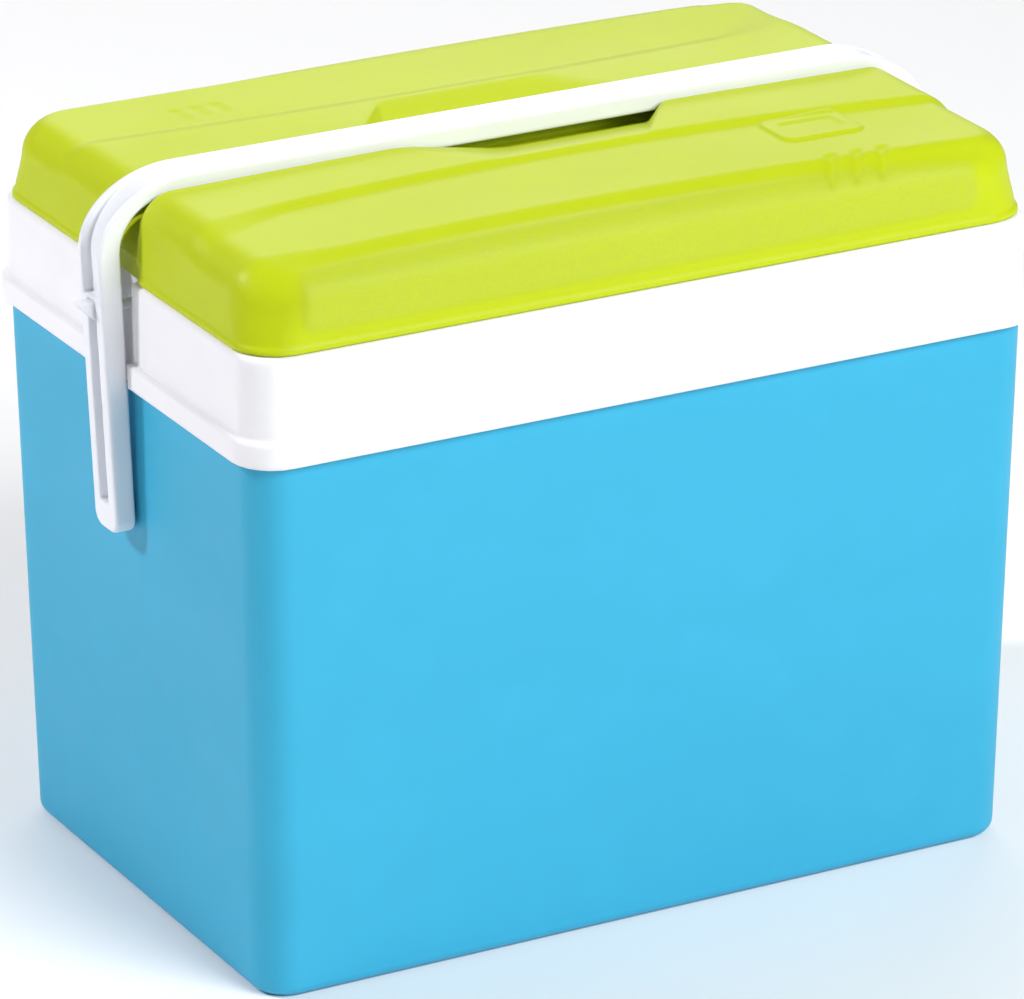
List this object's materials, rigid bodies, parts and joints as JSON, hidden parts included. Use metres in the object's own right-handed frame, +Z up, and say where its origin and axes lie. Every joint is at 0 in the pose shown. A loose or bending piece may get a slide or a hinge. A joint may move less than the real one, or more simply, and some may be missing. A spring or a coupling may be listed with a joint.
{
  "type": "portable cool box",
  "caption": "Insulated rectangular cool box with a lift-off lid and a U-shaped carry handle that slides up out of a channel along the lid.",
  "frame": {"origin": "on the ground plane, under the middle of the box", "axes": "+X along the length, +Y from the front to the back, +Z up"},
  "size_m": [0.436, 0.27, 0.3494],
  "materials": {
    "shell_blue": "satin",
    "foam": "matte",
    "liner_white": "satin",
    "collar_white": "satin",
    "stud_white": "satin",
    "lid_lime": "satin",
    "handle_white": "satin"
  },
  "bodies": {
    "chest": {"outer_shell": "shell_blue", "shell_insulation": "foam", "inner_liner": "liner_white", "collar": "collar_white", "left_pivot_stud": "stud_white", "right_pivot_stud": "stud_white"},
    "handle": {"carry_handle": "handle_white"},
    "lid": {"lid_shell": "lid_lime", "lid_insulation": "foam", "lid_liner": "liner_white"}
  },
  "joints": [
    {"name": "handle_lift", "type": "slide", "parent": "chest", "child": "handle", "axis": [0, 0, 1], "range_m": [0, 0.087]},
    {"name": "lid_lift", "type": "slide", "parent": "chest", "child": "lid", "axis": [0, 0, 1], "range_m": [0, 0.0783]}
  ],
  "couplings": [
    {"joint": "lid_lift", "follows": "handle_lift", "ratio": 0.9}
  ]
}
